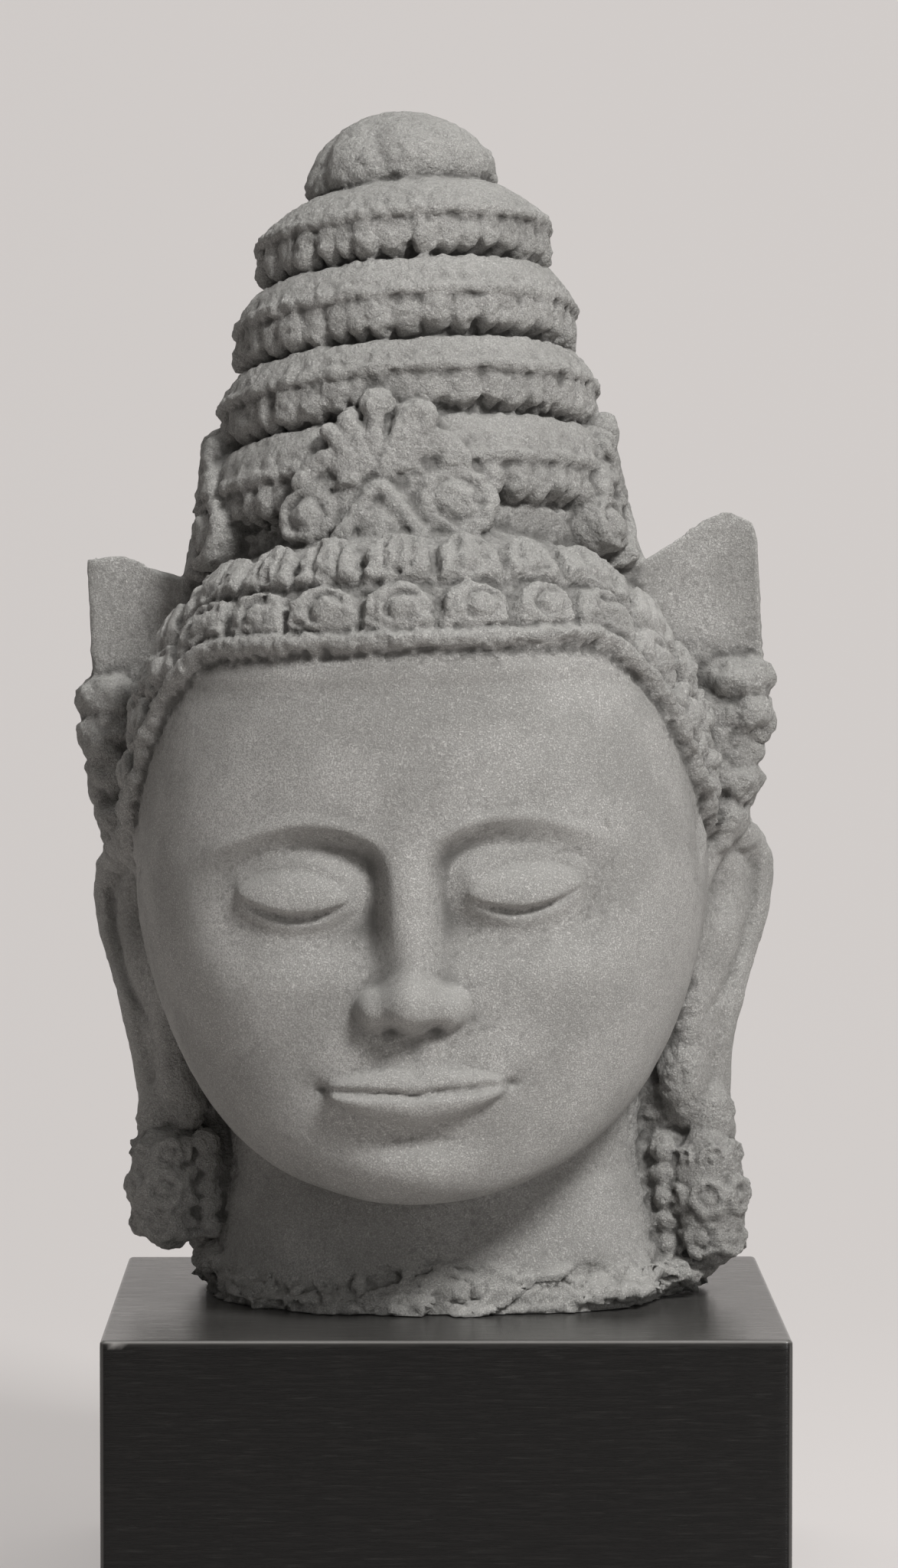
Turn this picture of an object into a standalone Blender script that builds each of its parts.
"""A carved sandstone head with a tall tiered chignon, standing on a black wooden plinth.

The stone is one block of carving: neck, face, diadem, chignon, ears and ear pendants. It is laid out on
a carver's canon of CANON_PARTS parts from the neck break to the crown, so every size of the carving is a
share of STONE_HEIGHT. Each mass is a closed shell, a profile carried round or along an axis. A voxel Remesh
fuses the shells into one skin, as they are one stone, and Decimate leaves the facets where the carving
needs them.
+Z is up, the face looks along -Y, and the origin is the middle of the plinth's underside.
"""

import math

import bmesh
import bpy
import numpy as np
from mathutils import Matrix, Vector

# Driving dimensions, in metres and degrees
STONE_HEIGHT = 0.378
PLINTH_WIDTH = 0.210
PLINTH_DEPTH = 0.200
PLINTH_HEIGHT = 0.090
PLINTH_EDGE_BEVEL = 0.0012
SEAT_GAP = 0.0003
HEAD_LEAN = 2.2
HEAD_TURN = 3.0
HEAD_OFFSET_X = -0.0015

# The canon: one part is a 378th of the stone's height, and the tables below are in parts
CANON_PARTS = 378.0
PART = STONE_HEIGHT / CANON_PARTS
VOXEL_PARTS = 1.5
STONE_FACETS = 9700

# Stations of the head from the neck break up to the crown of the skull. Each row gives the front, the
# widest point at the side and the back:
# front y, front z, side x, side y, side z, back y, back z, squareness
STATIONS = (
    (-47, -8, 74, 20, -8, 82, -8, 2.3),
    (-47, 3, 75, 20, 5, 83, 5, 2.3),
    (-43, 17, 72, 20, 20, 80, 20, 2.3),
    (-40, 36, 68, 20, 46, 78, 50, 2.2),
    (-45, 50, 68, 20, 66, 80, 76, 2.2),
    (-66, 41, 75, 16, 76, 86, 92, 2.15),
    (-81, 39, 81, 10, 87, 91, 104, 2.15),
    (-89, 49, 85.5, 6, 99, 95, 118, 2.2),
    (-91, 66, 88.5, 4, 112, 97, 132, 2.25),
    (-91, 85, 90, 2, 126, 98, 146, 2.35),
    (-92, 104, 90.5, 1, 139, 98, 160, 2.4),
    (-93, 128, 90, 0, 154, 97, 174, 2.4),
    (-94, 150, 88.5, 0, 169, 95, 188, 2.35),
    (-94, 172, 86.5, 1, 184, 92, 201, 2.3),
    (-93, 192, 83, 3, 198, 88, 213, 2.25),
    (-89, 211, 77, 6, 212, 82, 224, 2.2),
    (-81, 228, 67, 9, 226, 73, 233, 2.1),
    (-67, 241, 50, 12, 237, 58, 240, 2.0),
    (-36, 248, 26, 14, 245, 38, 246, 2.0),
)
CROWN = (0, 14, 249)
FACE_LIFT = 5.0
EYE_OUT = 35.5
EYE_HALF = 18.5

# The break at the foot of the neck: how high the chips reach, how deep they are, and how far the left
# corner is broken away above the plinth
BREAK_TOP = 24.0
BREAK_DEPTH = 4.5
BREAK_CORNER = 8.0
SHEER = 1.7

# Hairline and diadem
HAIRLINE = 58.5
TEMPLE_FALL = 66.0
NAPE_FALL = 30.0
ROW_EDGES = (6.5, 21.5, 41.0)
RIM_PROUD = 3.2
BAND_PROUD = 3.4
PANEL_PITCH = 22.5
PANEL_PROUD = 2.4
PANEL_GROOVE = 1.6
BACK_BAND = 22.0
BROW_LEVEL = 150.0
PARTS_PER_DEGREE = 1.58

# Chignon: its axis leans back; each tier has the height of its lobes' lower edge along the axis, its radius
# and how many lobes hang from it
CHIGNON_FOOT = (0, 8, 205)
CHIGNON_LEAN = 9.5
CHIGNON_TIERS = ((37.5, 65.0, 46), (67.0, 60.0, 42), (92.5, 54.5, 38), (119.5, 46.8, 34))
KNOB_BOTTOM = 147.0
KNOB_RADIUS = 31.0
KNOB_WIDEST = 4.0
CHIGNON_TOP = 175.2
TIER_RECESS = 2.6
TIER_TILT = 2.4
LOBE_HEIGHT = 10.5
LOBE_PROUD = 4.4
LOBE_VALLEY = 3.0
LOBE_UNDERCUT = 7.0
LOBE_SCALLOP = 4.0
ROPE_HALF = 2.1

# Leaf ornaments of the chignon: one in front, turned a little, and one each side and behind. Leaves are
# given by foot, tip and their half widths there; arcs by centre, radius and half width; roundels by centre
# and radius, then the same of their boss.
PALMETTE_FOOT = 24.0
PALMETTE_HALF = 35.0
PALMETTE_TALL = 53.0
PALMETTE_RELIEF = 1.4
PALMETTE_HEADING = -0.08
PALMETTE_LEAVES = (
    (-4.0, 24.0, -15.0, 38.5, 2.0, 3.6),
    (0.5, 24.0, 10.0, 41.0, 3.0, 5.8),
    (-2.5, 30.0, -1.8, 44.0, 2.0, 3.0),
)
PALMETTE_ARCS = ((-16.4, 21.2, 7.4, 2.7), (13.4, 25.8, 8.2, 4.0))
PALMETTE_ROUNDELS = ((-22.0, 11.5, 8.8, -21.2, 9.6, 4.2), (21.2, 13.3, 11.4, 20.4, 14.0, 5.3))
PALMETTE_ARCH = ((-0.8, 19.5), (-11.5, 2.7), (10.5, 2.7))
PALMETTE_BUD = (-1.8, 45.6, 5.0)

# Horns of the diadem behind the ears, left and right: the crest's outline from the notch by the chignon out
# to the tip, and the foot's inner and outer ends
HORN_CRESTS = {
    -1: ((66, 233), (73.5, 231.5), (80, 233), (87, 237.5), (93, 239.6), (99, 239.5), (104, 238.0)),
    1: ((66, 232), (73.5, 231.5), (81, 236), (89, 241.0), (96, 244.6), (102, 245.0), (107.5, 240.5)),
}
HORN_FEET = {-1: (60.0, 97.0), 1: (60.0, 101.0)}
HORN_BASE = 148.0

# Worn lumps of carving below each horn, and the corners that the break left standing out: place and radii
LUMPS = {
    -1: (
        (99, 14, 196, 13, 13, 10),
        (99, 13, 182, 10, 13, 11),
        (97, 13, 168, 8.5, 13, 10),
        (96, 13, 158, 9.5, 13, 8),
        (92, 11, 149, 9.5, 13, 9),
        (92, 16, 172, 13, 13, 34),
    ),
    1: (
        (101, 14, 192, 12.5, 13, 9),
        (103, 13, 181, 11, 13, 9),
        (99, 13, 170, 9, 12, 9),
        (99, 13, 159.5, 10, 13, 8.5),
        (95, 11, 149, 9, 13, 9),
        (92, 16, 172, 13, 13, 34),
    ),
}
BREAK_CORNERS = (
    (-62, 14, 13, 17, 26, 9),
    (68, 16, 6, 21, 26, 9),
    (40, -6, 3, 34, 34, 7),
    (-30, -8, 5, 38, 34, 7),
)

# Ears, from foot to top, with their front and free edges measured back from the root, and their pendants
EAR_FLARE = 37.0
EAR_FOOT = 48.0
EAR_TOP = 148.0
EAR_EDGES = ((7, 23), (5, 22), (4, 22.5), (1, 26), (-2, 33), (-3, 40), (0, 42), (10, 32))
PENDANTS = {-1: ((86.0, 3.0, 37.5), 20.5), 1: ((86.5, 3.0, 28.5), 23.5)}

WOOD_COLOUR = (0.012, 0.011, 0.010, 1.0)
STONE_COLOUR = (0.36, 0.345, 0.32, 1.0)


def clear_scene():
    for obj in list(bpy.data.objects):
        bpy.data.objects.remove(obj, do_unlink=True)


def material(name, colour, roughness):
    made = bpy.data.materials.new(name)
    made.use_nodes = True
    shader = made.node_tree.nodes["Principled BSDF"]
    shader.inputs["Base Color"].default_value = colour
    shader.inputs["Roughness"].default_value = roughness
    shader.inputs["Metallic"].default_value = 0.0
    return made


def ramp(low, high, x):
    """0 below low, 1 above high, and a smooth S between."""
    t = np.clip((x - low) / (high - low), 0, 1)
    return t * t * (3 - 2 * t)


def hill(x, z, cx, cz, rx, rz):
    """A soft round bump, 1 at its middle and a third at its radius."""
    return np.exp(-(((x - cx) / rx) ** 2) - ((z - cz) / rz) ** 2)


def dome(x, z, cx, cz, rx, rz):
    """Half an ellipsoid with a crisp foot, 1 at its middle and 0 from its radius on."""
    return np.sqrt(np.clip(1 - ((x - cx) / rx) ** 2 - ((z - cz) / rz) ** 2, 0, 1))


def smooth_max(a, b, blend):
    """The larger of two heights, with the crease between them rounded."""
    return 0.5 * (a + b + np.sqrt((a - b) ** 2 + blend**2) - blend)


def bead(distance, half, height):
    """A round bead of stone along a line: its height at a distance from the line."""
    return height * np.sqrt(np.clip(1 - (distance / half) ** 2, 0, 1))


def to_line(p, q, start, end):
    """Distance from a straight stroke, and how far along it the nearest point lies, from 0 to 1."""
    dp, dq = end[0] - start[0], end[1] - start[1]
    along = np.clip(((p - start[0]) * dp + (q - start[1]) * dq) / (dp * dp + dq * dq), 0, 1)
    return np.hypot(p - start[0] - along * dp, q - start[1] - along * dq), along


def through(keys, t):
    """A smooth curve through evenly spaced keys; t runs from 0 at the first to 1 at the last."""
    keys = np.asarray(keys, float)
    slopes = np.gradient(keys, axis=0)
    place = np.clip(t, 0, 1) * (len(keys) - 1)
    i = np.minimum(place.astype(int), len(keys) - 2)
    f = place - i
    f = f.reshape(f.shape + (1,) * (keys.ndim - 1))
    a, b, da, db = keys[i], keys[i + 1], slopes[i], slopes[i + 1]
    return (
        (2 * f**3 - 3 * f**2 + 1) * a
        + (f**3 - 2 * f**2 + f) * da
        + (3 * f**2 - 2 * f**3) * b
        + (f**3 - f**2) * db
    )


def grid_normals(points):
    """Unit normals of a grid of closed rings, facing out for rings that run anticlockwise going up."""
    around = np.roll(points, -1, 1) - np.roll(points, 1, 1)
    normal = np.cross(around, np.gradient(points, axis=0))
    return normal / np.maximum(np.linalg.norm(normal, axis=2, keepdims=True), 1e-9)


class Shells:
    """Closed shells gathered into one mesh, in parts."""

    def __init__(self):
        self.points = []
        self.faces = []
        self.count = 0

    def add_rings(self, rings):
        """A tube of rings with both ends closed. rings is (how many, points in each, 3)."""
        rows, columns = rings.shape[:2]
        index = np.arange(rows * columns).reshape(rows, columns) + self.count
        after = np.roll(index, -1, axis=1)
        quads = np.stack([index[:-1], after[:-1], after[1:], index[1:]], axis=-1)
        self.faces += quads.reshape(-1, 4).tolist()
        self.faces.append(index[0, ::-1].tolist())
        self.faces.append(index[-1].tolist())
        self.points.append(rings.reshape(-1, 3))
        self.count += rows * columns

    def add_slab(self, front, back):
        """A slab between two grids of the same shape, such as a relief and the surface behind it."""
        self.add_rings(np.concatenate([front, back[:, ::-1]], axis=1))

    def add_ball(self, centre, radii, turn=0.0, rows=10, columns=14):
        """An ellipsoid, turned about the vertical by an angle in radians."""
        lat = np.linspace(-math.pi / 2 + 0.12, math.pi / 2 - 0.12, rows)[:, None]
        lon = np.linspace(0, 2 * math.pi, columns, endpoint=False)[None, :]
        x = radii[0] * np.cos(lat) * np.cos(lon)
        y = radii[1] * np.cos(lat) * np.sin(lon)
        z = radii[2] * np.sin(lat) + 0 * lon
        c, s = math.cos(turn), math.sin(turn)
        self.add_rings(np.stack([c * x - s * y, s * x + c * y, z], -1) + np.asarray(centre, float))

    def mesh(self, name, matrix):
        mesh = bpy.data.meshes.new(name)
        mesh.from_pydata((np.concatenate(self.points) * PART).tolist(), [], self.faces)
        work = bmesh.new()
        work.from_mesh(mesh)
        bmesh.ops.recalc_face_normals(work, faces=work.faces)
        work.to_mesh(mesh)
        work.free()
        mesh.transform(matrix)
        mesh.validate()
        return mesh


def nose(x, z):
    """Height of the nose over the face: a bridge that rises to a round tip, and a wing each side."""
    up = np.clip((z - 92) / 46, 0, 1)
    ridge = 18.5 - 12.0 * up**0.85
    bridge = ridge * (1 - ramp(0.0, 1.0, np.abs(x) / (18.5 - 5.5 * up)))
    bridge = bridge * ramp(84, 94, z) * (1 - ramp(130, 155, z))
    tip = 19.0 * dome(x, z, 0, 97.0, 13.0, 10.5) ** 1.2
    wing = 12.0 * dome(np.abs(x), z, 11.0, 95.5, 8.6, 7.6) ** 1.2
    nostril = 3.5 * hill(np.abs(x), z, 6.5, 88.5, 3.6, 2.0)
    return smooth_max(smooth_max(bridge, tip, 6.0), wing, 5.0) - nostril


def eyes(x, z):
    """Sockets under arched brows, with round eyeballs and the lids lowered over them."""
    side = np.abs(x)
    along = np.clip((side - 7) / 57, 0, 1)
    brow = 143.5 + 8.5 * np.sin(math.pi * along**0.85) - 2.5 * along
    reach = ramp(4, 13, side) * (1 - ramp(50, 70, side))
    depth = 9.0 - 4.5 * ramp(12, 50, side)
    socket = -depth * ramp(-1.0, 9.0, brow - z) * ramp(101, 126, z) * reach
    ball = -9.0 + 10.0 * (1 - ((side - EYE_OUT) / 26.0) ** 2 - ((z - 130.5) / 16.0) ** 2)
    line = 1.1 * np.exp(-(((z - brow - 1.2) / 2.0) ** 2)) * reach
    bow = np.clip(1 - ((side - EYE_OUT) / EYE_HALF) ** 2, 0, 1)
    corner = 129.5 + 0.06 * (side - EYE_OUT)
    lash, lower, crease = corner - 5.0 * bow, corner - 8.0 * bow, corner + 8.5 * bow**0.7
    open_in = ramp(0.0, 0.2, bow)
    lid = 1.5 * ramp(-0.3, 0.6, z - lash) * (1 - ramp(0.0, 12.0, z - lash)) * open_in
    fold = 0.7 * np.exp(-(((z - crease) / 1.5) ** 2)) * open_in
    slit = 2.0 * ramp(-0.1, 0.9, lash - z) * ramp(-0.3, 1.0, z - lower) * open_in
    rim = 1.0 * np.exp(-(((z - lower + 1.5) / 1.8) ** 2)) * open_in
    return smooth_max(socket, ball, 3.5) + line + lid - fold - slit + rim


def mouth(x, z):
    """Full closed lips with a calm, level parting line, on a rounded muzzle."""
    side = np.abs(x) / 27.0
    bow = np.clip(1 - side**2, 0, 1)
    parting = 69.5 + 1.2 * side**2 - 0.8 * np.exp(-((x / 5) ** 2))
    top = parting + 8.0 * bow**0.75 * (1 - 0.14 * np.exp(-((x / 3.5) ** 2))) + 0.01
    bottom = parting - 9.5 * bow**0.75 - 0.01
    upper = np.clip((z - parting) / (top - parting), 0, 1)
    under = np.clip((parting - z) / (parting - bottom), 0, 1)
    upper_lip = 4.4 * np.sqrt(np.clip(1 - upper**1.8, 0, 1))
    lower_lip = 5.4 * np.sqrt(np.clip(1 - under**2.2, 0, 1))
    lips = np.where(z > parting, upper_lip, lower_lip)
    groove = 3.6 * np.exp(-(((z - parting) / 1.4) ** 2)) * (1 - ramp(0.95, 1.12, side))
    muzzle = 6.0 * hill(x, z, 0, 72, 35, 20)
    dimple = 1.8 * hill(np.abs(x), z, 30.5, 70.5, 4.5, 5)
    philtrum = 1.2 * np.exp(-((x / 3) ** 2)) * ramp(77, 80, z) * (1 - ramp(84, 89, z))
    return lips * ramp(0, 0.25, bow) - groove + muzzle - dimple - philtrum


def face_relief(x, z):
    """How far the features stand forward of the plain egg of the face."""
    chin = 5.5 * hill(x, z, 0, 43, 17, 11) - 3.0 * hill(x, z, 0, 54.5, 17, 4.5)
    cheeks = 3.5 * hill(np.abs(x), z, 50, 104, 21, 20)
    return nose(x, z) + eyes(x, z) + mouth(x, z) + chin + cheeks


def zigzag(t):
    """A wave of straight flanks between 0 and 1, one for each unit of t."""
    return 2 * np.abs(t - np.round(t))


def fracture(angle, z):
    """The rough foot of the neck, as flat chips: how far the skin stands out, and how far it is lifted."""
    turn = angle / (2 * math.pi)
    chips = zigzag(13 * turn + 0.035 * z) * zigzag(31 * turn - 0.05 * z + 0.3) - 0.35
    low = 1 - ramp(BREAK_TOP * 0.3, BREAK_TOP, z)
    corner = np.exp(-(((angle + 1.55) / 0.5) ** 2))
    return BREAK_DEPTH * chips * low, BREAK_CORNER * corner * (1 - ramp(0, BREAK_TOP, z))


def head_rings(columns, rows):
    """The neck, face and skull as rings, squared ovals through the stations: first the plain egg, then with
    the features."""
    turn = np.linspace(-math.pi, math.pi, columns, endpoint=False)
    angle = turn - 0.45 * np.sin(turn)
    keys = through(STATIONS, np.linspace(0, 1, rows))
    front_y, front_z, side_x, side_y, side_z, back_y, back_z, square = keys.T[:, :, None]
    s, c = np.sin(angle)[None, :], np.cos(angle)[None, :]
    reach = np.where(c > 0, side_y - front_y, back_y - side_y)
    radius = (np.abs(s / side_x) ** square + np.abs(c / reach) ** square) ** (-1 / square)
    chips, lift = fracture(angle[None, :], side_z)
    radius = radius + chips
    x = radius * s
    y = side_y - radius * c
    z = side_z + (front_z - side_z) * np.clip(c, 0, 1) ** SHEER
    z = z + (back_z - side_z) * np.clip(-c, 0, 1) ** SHEER + lift
    facing = ramp(0.1, 0.45, c + 0 * z) * ramp(35, 43, z + 0 * c) * (1 - ramp(196, 202, z))
    features = face_relief(x, z - FACE_LIFT) * facing
    return np.stack([x, y, z], -1), np.stack([x, y - features, z], -1), angle


def hairline(angle):
    """Height of the hairline above the brow's level at an angle round the head: level over the brow, down
    before the ears and lower again at the nape."""
    return HAIRLINE - TEMPLE_FALL * ramp(30, 84, angle) - NAPE_FALL * ramp(88, 125, angle)


def band_coordinates(points, angle):
    """Where each point lies on the diadem: along the hairline from the middle of the brow, and across from
    it, measured on the skin of the head."""
    steps = np.linalg.norm(np.diff(points, axis=0, prepend=points[:1]), axis=2)
    climbed = np.cumsum(steps, axis=0)
    brow = np.argmin(np.abs(points[:, :, 2] - BROW_LEVEL), axis=0)[None, :]
    height = climbed - np.take_along_axis(climbed, brow, axis=0)
    round_head = np.abs(np.degrees(angle))[None, :] * PARTS_PER_DEGREE + 0 * height
    line_angle = np.linspace(0, 180, 73)
    line = np.stack([line_angle * PARTS_PER_DEGREE, hairline(line_angle)], -1)
    lengths = np.linalg.norm(np.diff(line, axis=0), axis=1)
    runs = np.concatenate([[0], np.cumsum(lengths)])
    best = np.full(height.shape, 1e9)
    along = np.zeros(height.shape)
    across = np.zeros(height.shape)
    for k, length in enumerate(lengths):
        gap, t = to_line(round_head, height, line[k], line[k + 1])
        turn = (line[k + 1] - line[k]) / length
        above = turn[0] * (height - line[k][1]) - turn[1] * (round_head - line[k][0])
        nearer = gap < best
        best = np.where(nearer, gap, best)
        along = np.where(nearer, runs[k] + t * length, along)
        across = np.where(nearer, gap * np.sign(above), across)
    return along * np.sign(angle)[None, :], across


def arch_edge(px, py, half):
    """Signed distance, about, from a panel's outline: straight sides and foot, and an elliptical top."""
    wide = PANEL_PITCH / 2 - 0.7
    box = np.maximum(np.abs(px) - wide, -py - half)
    spring = -half * 0.2
    rise = np.maximum(py - spring, 0) * wide / (half - spring)
    return np.maximum(box, np.hypot(px, rise) - wide)


def low_carving(px, py):
    """The lower row: a boss low on the right with a groove round it, under a curl cut in from the left."""
    gap = np.hypot(px - 2.0, py + 1.6)
    groove = 1.9 * np.exp(-(((gap - 4.8) / 1.1) ** 2)) * (1.2 + np.sign(-py - 1.6) * 0.4)
    curl = 1.3 * np.exp(-(((np.hypot((px + 0.4) / 1.3, py - 0.3) - 6.0) / 0.9) ** 2)) * (px < 3)
    return 1.8 * dome(px, py, 2.0, -1.6, 4.2, 4.2) - groove - curl


def high_carving(px, py):
    """The upper row: three leaves parted by two cuts that lean out, over a pit at their foot."""
    cuts = 1.9 * np.exp(-((np.abs(px) - 3.4 - 0.22 * py) ** 2)) * ramp(-8, -5, py) * (1 - ramp(5, 8, py))
    pit = 2.0 * hill(px, py, 0.0, -7.0, 2.4, 1.8)
    return 1.0 * hill(px, py, 0, 1.5, 3.4, 6.5) - cuts - pit


def band_relief(along, across):
    """Height of the diadem over the head: a rolled rim at the hairline, then two rows of arched panels,
    each a pillow with a groove round it, whose tops make its scalloped upper edge."""
    rim = bead(across - ROW_EDGES[0] / 2, ROW_EDGES[0] / 2, RIM_PROUD)
    rim = rim + BAND_PROUD * ramp(-0.4, 2.0, across) * 0.7
    rows = np.zeros(across.shape)
    px = along - np.round(along / PANEL_PITCH) * PANEL_PITCH
    for k, carving in enumerate((low_carving, high_carving)):
        low, high = ROW_EDGES[k], ROW_EDGES[k + 1]
        py, half = across - (low + high) / 2, (high - low) / 2
        arch = arch_edge(px, py, half - 0.3)
        pillow = (PANEL_PROUD + PANEL_GROOVE) * (1 - ramp(-2.2, 0.3, arch)) - PANEL_GROOVE
        relief = pillow + carving(px, py) * (1 - ramp(-2.0, -0.8, arch))
        ground = BAND_PROUD * (1 - k * ramp(0.2, 2.2, arch))
        relief = ground + relief * (1 - k * ramp(0.5, 2.2, arch))
        rows = np.where((across > low) & (across <= high), relief, rows)
    return np.where(across < ROW_EDGES[0], rim, rows)


def add_head(shells, columns=360, rows=330):
    egg, points, angle = head_rings(columns, rows)
    along, across = band_coordinates(egg, angle)
    front = (1 - ramp(112, 122, np.abs(np.degrees(angle))))[None, :]
    plain = BAND_PROUD * ramp(-0.5, 1, across) * (1 - ramp(BACK_BAND, BACK_BAND + 2, across))
    relief = band_relief(along, across) * front + plain * (1 - front)
    points = points + grid_normals(points) * relief[..., None]
    closing = points[-1:] * 0.3 + np.asarray(CROWN, float) * 0.7
    shells.add_rings(np.concatenate([points, closing], axis=0))


def chignon_frame():
    """The chignon's foot, its axis, and the two directions across it: right and back."""
    lean = math.radians(CHIGNON_LEAN)
    foot = np.asarray(CHIGNON_FOOT, float)
    axis = np.array([0, math.sin(lean), math.cos(lean)])
    return foot, axis, np.array([1.0, 0, 0]), np.array([0, math.cos(lean), -math.sin(lean)])


def fringe(s, angle, bottom, rim, lobes):
    """The lobes that hang from a tier's lip: half eggs on a roll that is rounded under at its foot, some of
    them worn lower than others."""
    lobe = np.abs(np.cos(lobes * angle / 2)) ** 0.7
    worn = 0.8 + 0.2 * np.sin(5 * angle + rim) * np.sin(11 * angle + bottom)
    foot = bottom + LOBE_SCALLOP * (1 - lobe)
    up = (s - foot) / (bottom + LOBE_HEIGHT - foot)
    swell = np.sqrt(np.clip(1 - (up - 0.4) ** 2 / 0.36, 0, 1))
    under = (1 - np.clip(up / 0.3, 0, 1)) ** 2
    return rim - LOBE_VALLEY + LOBE_PROUD * worn * lobe * swell - LOBE_UNDERCUT * under


def shoulder(s, lip, roof, inner, rim):
    """A tier over its lobes: it swells out from under the tier above to its lip, where a rope runs."""
    down = np.clip((roof - s) / (roof - lip), 0, 1)
    swell = inner + (rim - inner) * np.sin(math.pi / 2 * down) ** 0.72
    return swell + bead(s - lip - ROPE_HALF * 0.9, ROPE_HALF, 1.5)


def knob_radius(s, angle):
    """The closed bud on top: rounded over above its widest line and in below it, with eight petals."""
    above = CHIGNON_TOP - KNOB_BOTTOM - KNOB_WIDEST
    up = np.clip((s - KNOB_BOTTOM - KNOB_WIDEST) / above, 0, 1)
    below = np.clip((KNOB_BOTTOM + KNOB_WIDEST - s) / KNOB_WIDEST, 0, 1)
    petal = np.abs(np.sin(4 * angle + 0.5 + 1.2 * up))
    grooves = 1.7 * (1 - petal**0.5) * (1 - ramp(0.35, 0.75, up))
    return KNOB_RADIUS * (1 - up**1.6) ** 0.75 - 3.0 * below**2 - grooves


def chignon_radius(s, angle):
    """Radius of the chignon at a height along its axis: the tiers, each a fringe below its lip and a
    shoulder above it, and the knob. The rings tilt, but not the top of the knob."""
    s = s - TIER_TILT * np.sin(angle) * (1 - ramp(KNOB_BOTTOM, CHIGNON_TOP, s))
    bottoms = [tier[0] for tier in CHIGNON_TIERS] + [KNOB_BOTTOM]
    radii = [tier[1] for tier in CHIGNON_TIERS] + [KNOB_RADIUS]
    radius = np.full(np.broadcast(s, angle).shape, radii[0] - 2 * TIER_RECESS)
    for k, (bottom, rim, lobes) in enumerate(CHIGNON_TIERS):
        roof, lip = bottoms[k + 1], bottom + LOBE_HEIGHT
        above = shoulder(s, lip, roof, radii[k + 1] - TIER_RECESS, rim)
        tier = np.where(s < lip, fringe(s, angle, bottom, rim, lobes), above)
        radius = np.where((s >= bottom) & (s < roof), tier, radius)
    return np.where(s >= KNOB_BOTTOM, knob_radius(s, angle), radius)


def add_chignon(shells, columns=420, rows=300):
    foot, axis, right, back = chignon_frame()
    up = np.linspace(-12, CHIGNON_TOP, rows)[:, None]
    angle = np.linspace(-math.pi, math.pi, columns, endpoint=False)[None, :]
    radius = np.maximum(chignon_radius(up, angle), 0.4)[..., None]
    out = np.sin(angle)[..., None] * right - np.cos(angle)[..., None] * back
    shells.add_rings(foot + up[..., None] * axis + radius * out)


def palmette(p, q):
    """Height of the leaf ornament over its ground, and how far a point is outside its outline. p runs
    across it and q up it. From below: a mound under a pointed arch, a roundel each side, an arc over each
    roundel, and a fan of three leaves with a bud at the top, each with a steep edge on a common plate."""
    height = np.full(p.shape, 0.6)
    outside = np.maximum(np.abs(p) - 14, np.maximum(-q, q - 24))
    for foot_p, foot_q, tip_p, tip_q, narrow, wide in PALMETTE_LEAVES:
        gap, along = to_line(p, q, (foot_p, foot_q), (tip_p, tip_q))
        width = narrow + (wide - narrow) * along
        leaf = 2.4 + 1.0 * along - 1.0 * (gap / width) ** 2
        height = np.where(gap < width, np.maximum(height, leaf), height)
        outside = np.minimum(outside, gap - width)
    for cp, cq, reach, half in PALMETTE_ARCS:
        gap = np.abs(np.hypot(p - cp, q - cq) - reach)
        band = 1.6 + bead(gap, half, 1.8)
        height = np.where((gap < half) & (q > cq - 2), np.maximum(height, band), height)
        outside = np.minimum(outside, np.where(q > cq - 2, gap - half, 99))
    for cp, cq, reach, boss_p, boss_q, boss_reach in PALMETTE_ROUNDELS:
        gap = np.hypot(p - cp, q - cq)
        crescent = 2.0 * hill(p, q, boss_p, boss_q - 1.6, boss_reach, boss_reach)
        disc = 3.2 - 1.4 * (gap / reach) ** 2 - crescent
        boss = 0.8 + 3.6 * dome(p, q, boss_p, boss_q, boss_reach, boss_reach)
        height = np.where(gap < reach, np.maximum(disc, boss), height)
        outside = np.minimum(outside, gap - reach)
    point, *ends = PALMETTE_ARCH
    for end in ends:
        gap, along = to_line(p, q, point, end)
        height = np.where(gap < 2.1, np.maximum(height, 2.0 + bead(gap, 2.1, 1.4)), height)
    bud_p, bud_q, bud_reach = PALMETTE_BUD
    from_bud = np.hypot(p - bud_p, q - bud_q)
    bud = 1.5 + bead(from_bud, bud_reach, 4.6)
    height = np.maximum(height, 4.2 * dome(p, q, -0.5, 4.5, 6.4, 9.0))
    height = np.where(from_bud < bud_reach, np.maximum(height, bud), height)
    return height, np.minimum(outside, from_bud - bud_reach)


def add_palmette(shells, heading, proud, cells=110):
    """A palmette laid against the chignon at a heading round its axis, 0 being the front."""
    base, axis, right, back = chignon_frame()
    across = np.linspace(-PALMETTE_HALF, PALMETTE_HALF, cells)
    p, q = np.meshgrid(across, np.linspace(-1.5, PALMETTE_TALL, cells))
    height, outside = palmette(p, q)
    s = (PALMETTE_FOOT + q)[..., None]
    ground = 69.0 - 0.2 * q + proud
    lift = np.where(outside < 0.8, PALMETTE_RELIEF * height, -9.0)
    angle = heading + p / 62.0
    out = np.sin(angle)[..., None] * right - np.cos(angle)[..., None] * back
    shells.add_slab(base + s * axis + (ground + lift)[..., None] * out, base + s * axis + 40.0 * out)


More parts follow.
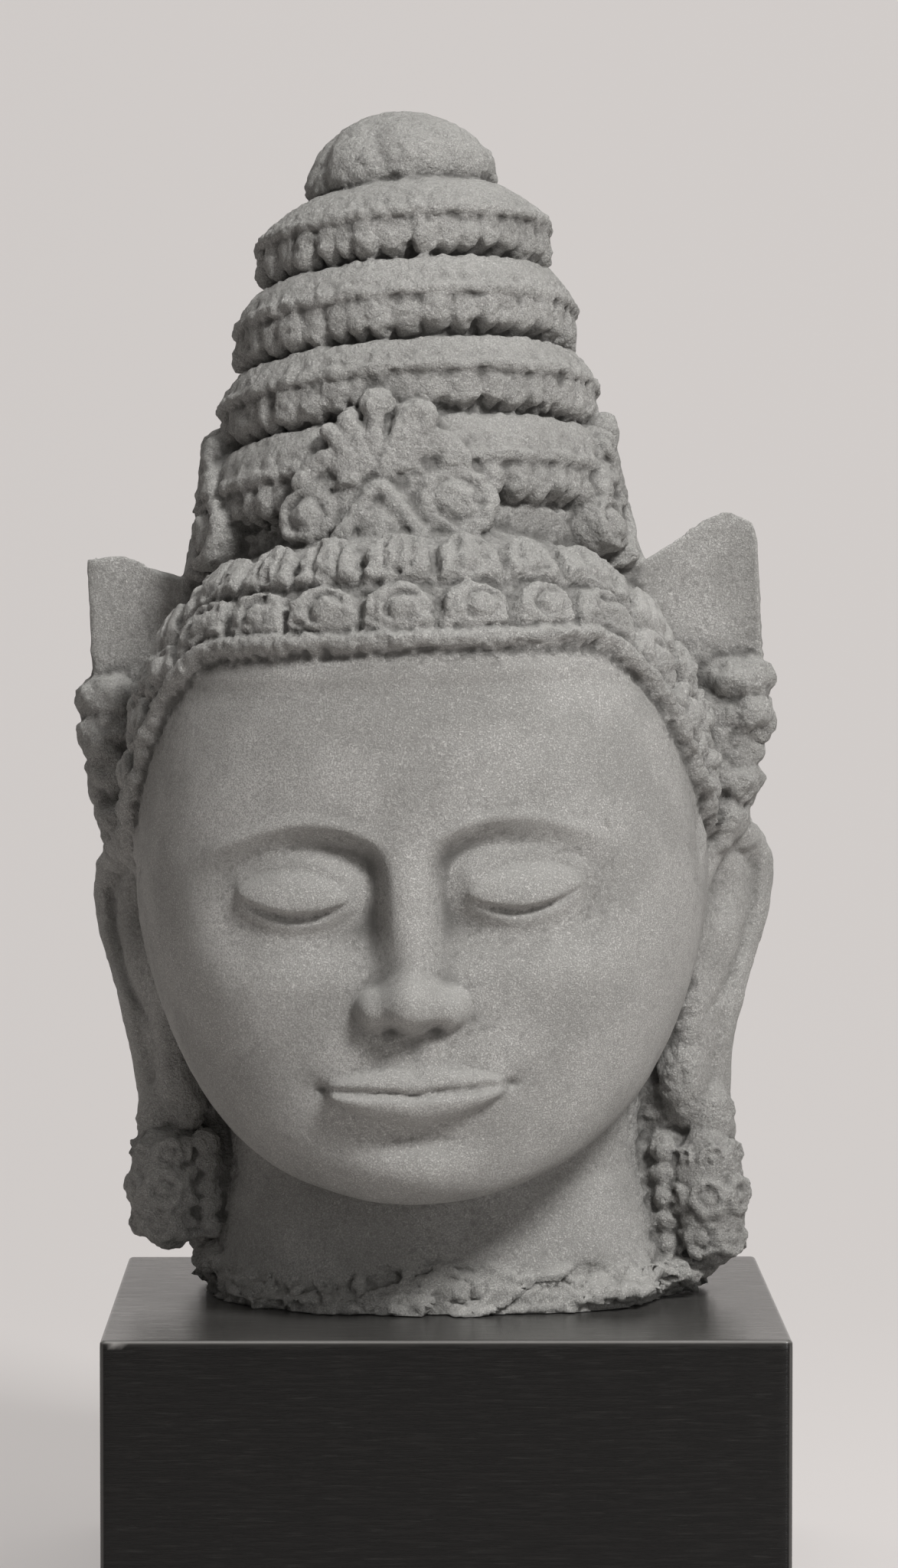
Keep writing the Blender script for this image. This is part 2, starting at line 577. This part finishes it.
def add_horn(shells, side):
    """The flare of the diadem over an ear: a fin with a hollow face and a raised strip down its edge."""
    up = np.linspace(0, 1, 44)[:, None]
    across = np.linspace(0, 1, 30)
    crest_x, crest_z = through(HORN_CRESTS[side], across).T
    foot_x = HORN_FEET[side][0] + (HORN_FEET[side][1] - HORN_FEET[side][0]) * across
    x = foot_x + (crest_x - foot_x) * ramp(0, 0.55, up)
    z = HORN_BASE + (crest_z - HORN_BASE) * up
    t = across[None, :]
    hollow = 4.0 * np.sin(math.pi * np.clip(t * 1.1, 0, 1)) * ramp(0.25, 0.8, up)
    strip = 1.6 * ramp(0.86, 0.92, t) * (1 - ramp(0.85, 0.95, up))
    front = np.stack([side * x, 1 + 10 * t + hollow - strip, z], -1)
    rear = np.stack([side * x, 23 + 3 * t - 7 * up, z - 2.0 * up], -1)
    shells.add_slab(front, rear)


def ear_edges(z):
    """Front and free edge of the ear at a height."""
    return through(EAR_EDGES, (z - 50) / (EAR_TOP - 50)).T


def ear_relief(a, z, to_edge):
    """The ear's carving: a rolled rim that runs on into the lobe, a groove inside it, a hollow under the
    rim's root, and a fold between them."""
    groove_at = np.interp(z, (84, 90, 98, 108, 120, 132, 140), (3, 10, 17, 24, 29.5, 30, 22))
    groove = 2.8 * np.exp(-(((a - groove_at) / 2.4) ** 2)) * ramp(84, 90, z) * (1 - ramp(137, 143, z))
    rim = bead(to_edge - 5.0, 5.0, 2.6)
    hollow = 5.2 * hill(a, z, 13, 126, 7.5, 9.5)
    fold = 2.4 * hill(a, z, 19, 110, 6.5, 15)
    root, along = to_line(a, z, (18, 146), (-1, 122))
    return rim - groove - hollow + fold + bead(root, 4.0, 3.4) - 3.4 * hill(a, z, 5, 94, 4.5, 5)


def add_ear(shells, side):
    """A long ear: carved in front, plain behind, with a strap of a lobe that reaches to the pendant."""
    z = np.linspace(EAR_FOOT, EAR_TOP, 100)[:, None]
    t = np.linspace(0, 1, 56)[None, :]
    front_edge, free_edge = (e[:, None] for e in ear_edges(z[:, 0]))
    a = front_edge + (free_edge - front_edge) * t
    to_edge = np.minimum(free_edge - a, EAR_TOP - z + 0 * a)
    relief = ear_relief(a, z, to_edge) - 3.0 * (1 - ramp(0, 2.5, to_edge))
    flare = math.radians(EAR_FLARE)
    root_x = 85 + 1.5 * side * ramp(60, 130, z) - 0.10 * np.clip(90 - z, 0, 50)
    out_x = root_x + a * math.sin(flare) + relief * math.cos(flare) * 0.4
    front = np.stack([side * out_x, -3 + a * math.cos(flare) - relief, z + 0 * a], -1)
    rear_x = root_x + (a - 1) * math.sin(flare) - 1.5
    rear = np.stack([side * rear_x, 6.5 + a * math.cos(flare), z + 0 * a], -1)
    shells.add_slab(front, rear)


def add_web(shells, side):
    """Stone left behind the ear lobe to tie it to the neck."""
    shells.add_ball((side * 66, 33, 62), (26, 14, 62), rows=24, columns=24)


def add_rosette(shells, centre, heading, radius, rise=3.5):
    """A small round flower in relief, facing out at a heading: a ring of petals round a boss."""
    rings, spokes = 13, 30
    reach = np.linspace(0.02, 1, rings)[:, None] * radius
    around = np.linspace(0, 2 * math.pi, spokes, endpoint=False)[None, :]
    petals = bead(reach - radius * 0.72, radius * 0.28, rise) * (0.75 + 0.25 * np.abs(np.cos(3 * around)))
    boss = bead(reach, radius * 0.36, rise * 1.1)
    height = np.maximum(petals, boss) - 3.0 * ramp(0.93, 1.0, reach / radius)
    out = np.array([math.sin(heading), -math.cos(heading), 0.0])
    right = np.array([math.cos(heading), math.sin(heading), 0.0])
    flat = (reach * np.cos(around))[..., None] * right + (reach * np.sin(around))[..., None] * [0, 0, 1]
    face = np.asarray(centre, float) + flat + height[..., None] * out
    foot = np.asarray(centre, float) + flat[::-1] - 5.0 * out
    shells.add_rings(np.concatenate([face, foot], axis=0))


def add_pendant(shells, side):
    """The ear pendant: a bunch of small round flowers, with stone left between it and the neck."""
    place, tall = PENDANTS[side]
    centre = np.array(place) * (side, 1, 1)
    shells.add_ball(centre, (11.0, 11.5, tall - 1.5), rows=16, columns=20)
    shells.add_ball(centre + [-side * 13, 8, 2], (14, 13, tall - 2), rows=16, columns=20)
    shells.add_ball(centre + [side * 1, 5, tall], (8.5, 9, 14), rows=12, columns=16)
    for level, reach in ((-0.52, 6.6), (0.03, 6.8), (0.56, 5.4)):
        spread = math.sqrt(1 - level**2)
        for k in range(-2, 4):
            heading = k * 0.98 + 0.35 * level
            place = [11.5 * spread * math.sin(heading), -12.0 * spread * math.cos(heading), tall * level]
            add_rosette(shells, centre + np.array(place), heading, reach * (1.0 if k in (0, 1) else 0.8))
    for k in range(5):
        place = centre + [-side * 13.5, -3.5, tall * (-0.6 + 0.32 * k)]
        shells.add_ball(place, (4.2, 5, 4.4), rows=8, columns=10)


def stone_matrix():
    """From the canon's own upright frame to the stone as it stands on the plinth, leaning and turned."""
    return (
        Matrix.Translation(Vector((HEAD_OFFSET_X, 0, PLINTH_HEIGHT + SEAT_GAP)))
        @ Matrix.Rotation(math.radians(-HEAD_TURN), 4, "Z")
        @ Matrix.Rotation(math.radians(-HEAD_LEAN), 4, "Y")
    )


def make_stone():
    shells = Shells()
    add_head(shells)
    add_chignon(shells)
    add_palmette(shells, PALMETTE_HEADING, 2.0)
    for quarter in (1, 2, 3):
        add_palmette(shells, quarter * math.pi / 2, 1.0)
    for side in (-1, 1):
        add_horn(shells, side)
        for x, y, z, *radii in LUMPS[side]:
            shells.add_ball((side * x, y, z), radii, rows=14, columns=20)
        add_ear(shells, side)
        add_web(shells, side)
        add_pendant(shells, side)
    for x, y, z, *radii in BREAK_CORNERS:
        shells.add_ball((x, y, z), radii, rows=16, columns=32)
    stone = bpy.data.objects.new("stone_head", shells.mesh("stone_head", stone_matrix()))
    bpy.context.scene.collection.objects.link(stone)
    fuse = stone.modifiers.new("one skin", "REMESH")
    fuse.mode = "VOXEL"
    fuse.voxel_size = VOXEL_PARTS * PART
    fuse.use_smooth_shade = True
    return stone


def seat_cutter():
    """Everything below the level that the stone stands at."""
    size = 2 * STONE_HEIGHT
    bpy.ops.mesh.primitive_cube_add(size=size, location=(0, 0, PLINTH_HEIGHT + SEAT_GAP - size / 2))
    cutter = bpy.context.object
    cutter.name = "seat_cutter"
    cutter.hide_render = True
    cutter.display_type = "WIRE"
    return cutter


def facet_stone(stone, cutter):
    """Few facets on the plain stone and more on the carving, then a flat seat."""
    bpy.context.view_layer.update()
    skin = stone.evaluated_get(bpy.context.evaluated_depsgraph_get()).to_mesh()
    skin.calc_loop_triangles()
    thin = stone.modifiers.new("facets", "DECIMATE")
    thin.ratio = STONE_FACETS / len(skin.loop_triangles)
    cut = stone.modifiers.new("flat seat", "BOOLEAN")
    cut.operation = "DIFFERENCE"
    cut.object = cutter


def make_plinth():
    bpy.ops.mesh.primitive_cube_add(size=1, location=(0, 0, PLINTH_HEIGHT / 2))
    plinth = bpy.context.object
    plinth.name = "wooden_plinth"
    plinth.data.transform(Matrix.Diagonal((PLINTH_WIDTH, PLINTH_DEPTH, PLINTH_HEIGHT, 1)))
    bevel = plinth.modifiers.new("eased edges", "BEVEL")
    bevel.width = PLINTH_EDGE_BEVEL
    bevel.segments = 2
    return plinth


def main():
    clear_scene()
    stone = make_stone()
    facet_stone(stone, seat_cutter())
    stone.data.materials.append(material("sandstone", STONE_COLOUR, 0.9))
    plinth = make_plinth()
    plinth.data.materials.append(material("ebonised wood", WOOD_COLOUR, 0.35))


main()
